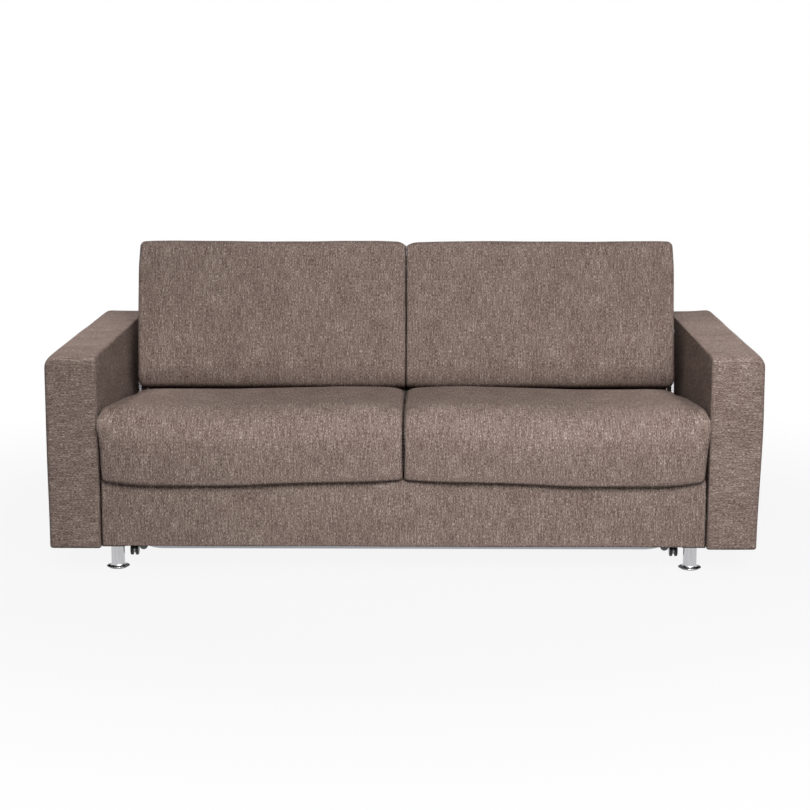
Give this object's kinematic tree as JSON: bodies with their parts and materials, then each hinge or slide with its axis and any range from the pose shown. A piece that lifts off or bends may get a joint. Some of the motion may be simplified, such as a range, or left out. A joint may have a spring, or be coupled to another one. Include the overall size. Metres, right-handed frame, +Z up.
{
  "type": "sleeper sofa with fold-out bed",
  "caption": "Fabric two-seat sleeper sofa on metal legs; the seat and back turn over forward on linked arms and open into a flat three-section bed.",
  "frame": {"origin": "on the floor under the middle of the sofa, at the centre of its closed bounding box", "axes": "+X to the sofa's own left as seen from the front on the right, +Y towards the back, +Z up"},
  "size_m": [1.98, 1.037, 0.8684],
  "materials": {
    "upholstery": "mottled woven melange",
    "mattress_cover": "plain ticking",
    "leg_metal": "satin",
    "frame_tube": "silver paint, satin",
    "link_steel": "satin",
    "black_plastic": "matte",
    "grey_plastic": "matte",
    "block_wood": "raw",
    "slat_wood": "lacquered"
  },
  "bodies": {
    "base": {"arm_left": "upholstery", "arm_right": "upholstery", "front_apron": "upholstery", "rear_panel": "upholstery", "side_rail_left": "link_steel", "side_rail_right": "link_steel", "corner_block_front_left": "block_wood", "corner_block_front_right": "block_wood", "corner_block_rear_left": "block_wood", "corner_block_rear_right": "block_wood", "front_leg_left": "leg_metal", "front_leg_right": "leg_metal", "rear_leg_left": "leg_metal", "rear_leg_right": "leg_metal", "front_glide_left": "black_plastic", "front_glide_right": "black_plastic", "rear_glide_left": "black_plastic", "rear_glide_right": "black_plastic"},
    "head": {"head_side_tube_left": "frame_tube", "head_side_tube_right": "frame_tube", "tube_cap_left": "grey_plastic", "tube_cap_right": "grey_plastic", "head_front_bar": "frame_tube", "head_rear_bar": "frame_tube", "head_slats": "slat_wood", "mattress_head": "mattress_cover"},
    "middle": {"middle_side_tube_left": "frame_tube", "middle_side_tube_right": "frame_tube", "middle_front_bar": "frame_tube", "middle_rear_bar": "frame_tube", "middle_slats": "slat_wood", "mattress_middle": "mattress_cover", "seat_cushion_left": "upholstery", "seat_cushion_right": "upholstery"},
    "foot": {"foot_side_tube_left": "frame_tube", "foot_side_tube_right": "frame_tube", "foot_lower_bar": "frame_tube", "foot_upper_bar": "frame_tube", "foot_slats": "slat_wood", "mattress_foot": "mattress_cover", "back_cushion_left": "upholstery", "back_cushion_right": "upholstery"},
    "swing_front_left": {"swing_arm_front_left": "link_steel"},
    "swing_rear_left": {"swing_arm_rear_left": "link_steel"},
    "foot_leg_left": {"foot_leg_left": "link_steel"},
    "wheel_leg_left": {"wheel_leg_left": "link_steel"},
    "wheels_left": {"wheel_inner_left": "black_plastic", "wheel_outer_left": "black_plastic", "wheel_axle_left": "link_steel"},
    "swing_front_right": {"swing_arm_front_right": "link_steel"},
    "swing_rear_right": {"swing_arm_rear_right": "link_steel"},
    "foot_leg_right": {"foot_leg_right": "link_steel"},
    "wheel_leg_right": {"wheel_leg_right": "link_steel"},
    "wheels_right": {"wheel_inner_right": "black_plastic", "wheel_outer_right": "black_plastic", "wheel_axle_right": "link_steel"}
  },
  "joints": [
    {"name": "fold", "type": "hinge", "parent": "head", "child": "middle", "pos_m": [0, -0.4145, 0.1473], "axis": [1, 0, 0], "range_deg": [0, 180]},
    {"name": "swing_front_left_pivot", "type": "hinge", "parent": "base", "child": "swing_front_left", "pos_m": [0, -0.3609, 0.18525], "axis": [1, 0, 0], "range_deg": [0, 160]},
    {"name": "head_pivot", "type": "hinge", "parent": "swing_front_left", "child": "head", "pos_m": [0, -0.2465, 0.092], "axis": [1, 0, 0], "range_deg": [-160, 0]},
    {"name": "swing_front_right_pivot", "type": "hinge", "parent": "base", "child": "swing_front_right", "pos_m": [0, -0.3609, 0.18525], "axis": [1, 0, 0], "range_deg": [0, 160]},
    {"name": "swing_rear_left_pivot", "type": "hinge", "parent": "base", "child": "swing_rear_left", "pos_m": [0, 0.0391, 0.18525], "axis": [1, 0, 0], "range_deg": [0, 160]},
    {"name": "swing_rear_right_pivot", "type": "hinge", "parent": "base", "child": "swing_rear_right", "pos_m": [0, 0.0391, 0.18525], "axis": [1, 0, 0], "range_deg": [0, 160]},
    {"name": "knee", "type": "hinge", "parent": "middle", "child": "foot", "pos_m": [0, 0.1955, 0.2361], "axis": [1, 0, 0], "range_deg": [-77, 0]},
    {"name": "foot_leg_left_pivot", "type": "hinge", "parent": "foot", "child": "foot_leg_left", "pos_m": [0, 0.27423, 0.57713], "axis": [1, 0, 0], "range_deg": [-90, 0]},
    {"name": "wheel_leg_left_pivot", "type": "hinge", "parent": "head", "child": "wheel_leg_left", "pos_m": [0, -0.1265, 0.0585], "axis": [1, 0, 0], "range_deg": [0, 86.81]},
    {"name": "foot_leg_right_pivot", "type": "hinge", "parent": "foot", "child": "foot_leg_right", "pos_m": [0, 0.27423, 0.57713], "axis": [1, 0, 0], "range_deg": [-90, 0]},
    {"name": "wheel_leg_right_pivot", "type": "hinge", "parent": "head", "child": "wheel_leg_right", "pos_m": [0, -0.1265, 0.0585], "axis": [1, 0, 0], "range_deg": [0, 86.81]},
    {"name": "wheels_left_spin", "type": "hinge", "parent": "wheel_leg_left", "child": "wheels_left", "pos_m": [0, -0.3861, 0.044], "axis": [1, 0, 0], "continuous": true},
    {"name": "wheels_right_spin", "type": "hinge", "parent": "wheel_leg_right", "child": "wheels_right", "pos_m": [0, -0.3861, 0.044], "axis": [1, 0, 0], "continuous": true}
  ],
  "couplings": [
    {"joint": "swing_front_left_pivot", "follows": "fold", "ratio": 0.88889},
    {"joint": "head_pivot", "follows": "fold", "ratio": -0.88889},
    {"joint": "swing_front_right_pivot", "follows": "fold", "ratio": 0.88889},
    {"joint": "swing_rear_left_pivot", "follows": "fold", "ratio": 0.88889},
    {"joint": "swing_rear_right_pivot", "follows": "fold", "ratio": 0.88889},
    {"joint": "knee", "follows": "fold", "ratio": -0.42778},
    {"joint": "foot_leg_left_pivot", "follows": "fold", "ratio": -0.5},
    {"joint": "wheel_leg_left_pivot", "follows": "fold", "ratio": 0.48224},
    {"joint": "foot_leg_right_pivot", "follows": "fold", "ratio": -0.5},
    {"joint": "wheel_leg_right_pivot", "follows": "fold", "ratio": 0.48224}
  ]
}
